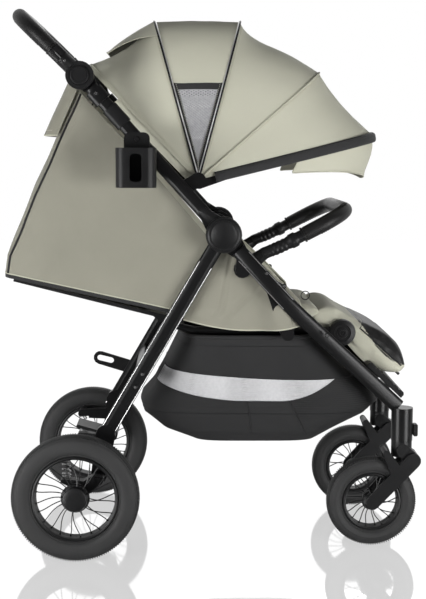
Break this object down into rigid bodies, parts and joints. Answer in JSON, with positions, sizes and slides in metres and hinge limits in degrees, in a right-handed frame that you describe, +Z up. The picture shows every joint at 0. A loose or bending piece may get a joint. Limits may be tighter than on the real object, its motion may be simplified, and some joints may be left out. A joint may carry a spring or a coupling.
{
  "type": "folding baby stroller",
  "caption": "Folding baby stroller with a reclining seat, ribbed canopy, swivelling front wheels, sprung rear wheels, bumper bar, cup holder and basket",
  "frame": {"origin": "on the ground under the middle of the box round the whole stroller", "axes": "+X forward, +Y to the stroller's left, +Z up"},
  "size_m": [0.8916, 0.6108, 1.1522],
  "materials": {
    "black_metal": "satin",
    "black_plastic": "fine grain",
    "tyre_rubber": "matte, fine tread",
    "grip_leather": "pebbled",
    "beige_fabric": "plain weave",
    "black_fabric": "plain weave with a mesh window",
    "spring_steel": "satin"
  },
  "bodies": {
    "frame": {"front_leg_right": "black_metal", "front_leg_left": "black_metal", "main_hinge_right": "black_plastic", "main_hinge_left": "black_plastic", "seat_frame": "black_metal", "seat_pad": "beige_fabric", "seat_wings": "beige_fabric", "basket": "black_fabric", "footplate": "black_plastic"},
    "push_frame": {"push_tube_right": "black_metal", "push_tube_left": "black_metal", "canopy_rear": "beige_fabric", "cup_clip": "black_plastic", "back_shell": "beige_fabric"},
    "handle": {"handle_knuckle_right": "black_plastic", "handle_knuckle_left": "black_plastic", "handlebar": "black_metal", "handlebar_grip": "grip_leather"},
    "rear_frame": {"rear_leg_right": "black_metal", "rear_leg_left": "black_metal", "rear_crossbar": "black_metal", "rear_axle": "black_metal", "rear_spring_right": "spring_steel", "rear_spring_left": "spring_steel"},
    "fold_catch": {"fold_catch": "black_plastic"},
    "brake_pedal": {"brake_pedal": "black_plastic"},
    "canopy_bow": {"canopy_bow": "black_metal", "canopy_front": "beige_fabric"},
    "canopy_rib_middle": {"canopy_middle": "beige_fabric"},
    "canopy_rib_top": {"canopy_top": "beige_fabric"},
    "visor": {"visor": "beige_fabric"},
    "bumper": {"bumper_bar": "black_plastic", "bumper_grip": "grip_leather"},
    "cup_holder": {"cup_holder": "black_plastic"},
    "legrest": {"legrest_frame": "black_plastic", "legrest_pad": "beige_fabric"},
    "backrest": {"backrest_board": "black_plastic", "backrest_pad": "beige_fabric"},
    "handle_button_right": {"handle_button_right": "black_plastic"},
    "fold_trigger_right": {"fold_trigger_right": "black_plastic"},
    "swing_right": {"swing_arm_right": "black_plastic"},
    "rear_wheel_right": {"rear_rim_right": "black_plastic", "rear_tyre_right": "tyre_rubber"},
    "caster_right": {"caster_head_right": "black_plastic"},
    "swivel_lock_right": {"swivel_lock_right": "black_plastic"},
    "fork_right": {"front_fork_right": "black_plastic"},
    "front_wheel_right": {"front_rim_right": "black_plastic", "front_tyre_right": "tyre_rubber"},
    "handle_button_left": {"handle_button_left": "black_plastic"},
    "fold_trigger_left": {"fold_trigger_left": "black_plastic"},
    "swing_left": {"swing_arm_left": "black_plastic"},
    "rear_wheel_left": {"rear_rim_left": "black_plastic", "rear_tyre_left": "tyre_rubber"},
    "caster_left": {"caster_head_left": "black_plastic"},
    "swivel_lock_left": {"swivel_lock_left": "black_plastic"},
    "fork_left": {"front_fork_left": "black_plastic"},
    "front_wheel_left": {"front_rim_left": "black_plastic", "front_tyre_left": "tyre_rubber"}
  },
  "joints": [
    {"name": "handle_fold", "type": "hinge", "parent": "frame", "child": "push_frame", "pos_m": [0.01421, 0.0179, 0.685], "axis": [0, -1, 0], "range_deg": [0, 121], "deforming": ["back_shell", "basket", "seat_wings", "canopy_rear"]},
    {"name": "rear_leg_fold", "type": "hinge", "parent": "frame", "child": "rear_frame", "pos_m": [0.01421, 0.0179, 0.685], "axis": [0, -1, 0], "range_deg": [0, 33]},
    {"name": "handlebar_tilt", "type": "hinge", "parent": "push_frame", "child": "handle", "pos_m": [-0.28259, 0.0179, 1.01118], "axis": [0, 1, 0], "range_deg": [-80, 26]},
    {"name": "canopy_fold", "type": "hinge", "parent": "push_frame", "child": "canopy_bow", "pos_m": [-0.03879, 0.0179, 0.79807], "axis": [0, -1, 0], "range_deg": [0, 75], "deforming": ["canopy_front", "canopy_middle", "canopy_top"]},
    {"name": "canopy_rib_middle_fold", "type": "hinge", "parent": "push_frame", "child": "canopy_rib_middle", "pos_m": [-0.03879, 0.0179, 0.79807], "axis": [0, -1, 0], "range_deg": [0, 54]},
    {"name": "canopy_rib_top_fold", "type": "hinge", "parent": "push_frame", "child": "canopy_rib_top", "pos_m": [-0.03879, 0.0179, 0.79807], "axis": [0, -1, 0], "range_deg": [0, 25]},
    {"name": "visor_flip", "type": "hinge", "parent": "canopy_bow", "child": "visor", "pos_m": [0.34756, 0.0179, 0.89368], "axis": [0, -1, 0], "range_deg": [0, 110]},
    {"name": "bumper_tilt", "type": "hinge", "parent": "frame", "child": "bumper", "pos_m": [0.05421, 0.0179, 0.61], "axis": [0, -1, 0], "range_deg": [-10, 14]},
    {"name": "legrest_tilt", "type": "hinge", "parent": "frame", "child": "legrest", "pos_m": [0.27321, 0.0179, 0.473], "axis": [0, -1, 0], "range_deg": [0, 40]},
    {"name": "backrest_recline", "type": "hinge", "parent": "frame", "child": "backrest", "pos_m": [-0.10079, 0.0179, 0.487], "axis": [0, 1, 0], "range_deg": [0, 55]},
    {"name": "cup_holder_swing", "type": "hinge", "parent": "push_frame", "child": "cup_holder", "pos_m": [-0.16548, -0.2274, 0.88248], "axis": [0, 1, 0], "range_deg": [-30, 30]},
    {"name": "fold_catch_lift", "type": "hinge", "parent": "rear_frame", "child": "fold_catch", "pos_m": [-0.19303, 0.2279, 0.32892], "axis": [0, 1, 0], "range_deg": [0, 20], "stiffness_Nm_per_rad": 0.1, "springref_deg": -28.65},
    {"name": "brake_press", "type": "hinge", "parent": "rear_frame", "child": "brake_pedal", "pos_m": [-0.23379, 0.0179, 0.21795], "axis": [0, -1, 0], "range_deg": [0, 20]},
    {"name": "handle_button_press_right", "type": "slide", "parent": "handle", "child": "handle_button_right", "axis": [0, 1, 0], "range_m": [0, 0.004], "stiffness_N_per_m": 400, "springref_m": -0.004},
    {"name": "fold_trigger_slide_right", "type": "slide", "parent": "push_frame", "child": "fold_trigger_right", "axis": [-0.673, 0, 0.7396], "range_m": [0, 0.012], "stiffness_N_per_m": 300, "springref_m": -0.008},
    {"name": "rear_suspension_right", "type": "hinge", "parent": "rear_frame", "child": "swing_right", "pos_m": [-0.25079, -0.1921, 0.16495], "axis": [0, 1, 0], "range_deg": [0, 8], "stiffness_Nm_per_rad": 10, "springref_deg": -22.92, "deforming": ["rear_spring_right"]},
    {"name": "rear_wheel_spin_right", "type": "hinge", "parent": "swing_right", "child": "rear_wheel_right", "pos_m": [-0.29579, -0.2471, 0.13495], "axis": [0, 1, 0], "continuous": true},
    {"name": "caster_swivel_right", "type": "hinge", "parent": "frame", "child": "caster_right", "pos_m": [0.40721, -0.1401, 0.23303], "axis": [0, 0, 1], "continuous": true},
    {"name": "swivel_lock_slide_right", "type": "slide", "parent": "frame", "child": "swivel_lock_right", "axis": [0, 0, -1], "range_m": [0, 0.008]},
    {"name": "front_suspension_right", "type": "hinge", "parent": "caster_right", "child": "fork_right", "pos_m": [0.42921, -0.1401, 0.19203], "axis": [0, 1, 0], "range_deg": [0, 6], "stiffness_Nm_per_rad": 20, "springref_deg": -20.05},
    {"name": "front_wheel_spin_right", "type": "hinge", "parent": "fork_right", "child": "front_wheel_right", "pos_m": [0.34221, -0.1401, 0.09803], "axis": [0, 1, 0], "continuous": true},
    {"name": "handle_button_press_left", "type": "slide", "parent": "handle", "child": "handle_button_left", "axis": [0, -1, 0], "range_m": [0, 0.004], "stiffness_N_per_m": 400, "springref_m": -0.004},
    {"name": "fold_trigger_slide_left", "type": "slide", "parent": "push_frame", "child": "fold_trigger_left", "axis": [-0.673, 0, 0.7396], "range_m": [0, 0.012], "stiffness_N_per_m": 300, "springref_m": -0.008},
    {"name": "rear_suspension_left", "type": "hinge", "parent": "rear_frame", "child": "swing_left", "pos_m": [-0.25079, 0.2279, 0.16495], "axis": [0, 1, 0], "range_deg": [0, 8], "stiffness_Nm_per_rad": 10, "springref_deg": -22.92, "deforming": ["rear_spring_left"]},
    {"name": "rear_wheel_spin_left", "type": "hinge", "parent": "swing_left", "child": "rear_wheel_left", "pos_m": [-0.29579, 0.2829, 0.13495], "axis": [0, 1, 0], "continuous": true},
    {"name": "caster_swivel_left", "type": "hinge", "parent": "frame", "child": "caster_left", "pos_m": [0.40721, 0.1759, 0.23303], "axis": [0, 0, 1], "continuous": true},
    {"name": "swivel_lock_slide_left", "type": "slide", "parent": "frame", "child": "swivel_lock_left", "axis": [0, 0, -1], "range_m": [0, 0.008]},
    {"name": "front_suspension_left", "type": "hinge", "parent": "caster_left", "child": "fork_left", "pos_m": [0.42921, 0.1759, 0.19203], "axis": [0, 1, 0], "range_deg": [0, 6], "stiffness_Nm_per_rad": 20, "springref_deg": -20.05},
    {"name": "front_wheel_spin_left", "type": "hinge", "parent": "fork_left", "child": "front_wheel_left", "pos_m": [0.34221, 0.1759, 0.09803], "axis": [0, 1, 0], "continuous": true}
  ],
  "couplings": [
    {"joint": "rear_leg_fold", "follows": "handle_fold", "ratio": 0.27273},
    {"joint": "canopy_rib_middle_fold", "follows": "canopy_fold", "ratio": 0.72},
    {"joint": "canopy_rib_top_fold", "follows": "canopy_fold", "ratio": 0.33}
  ]
}
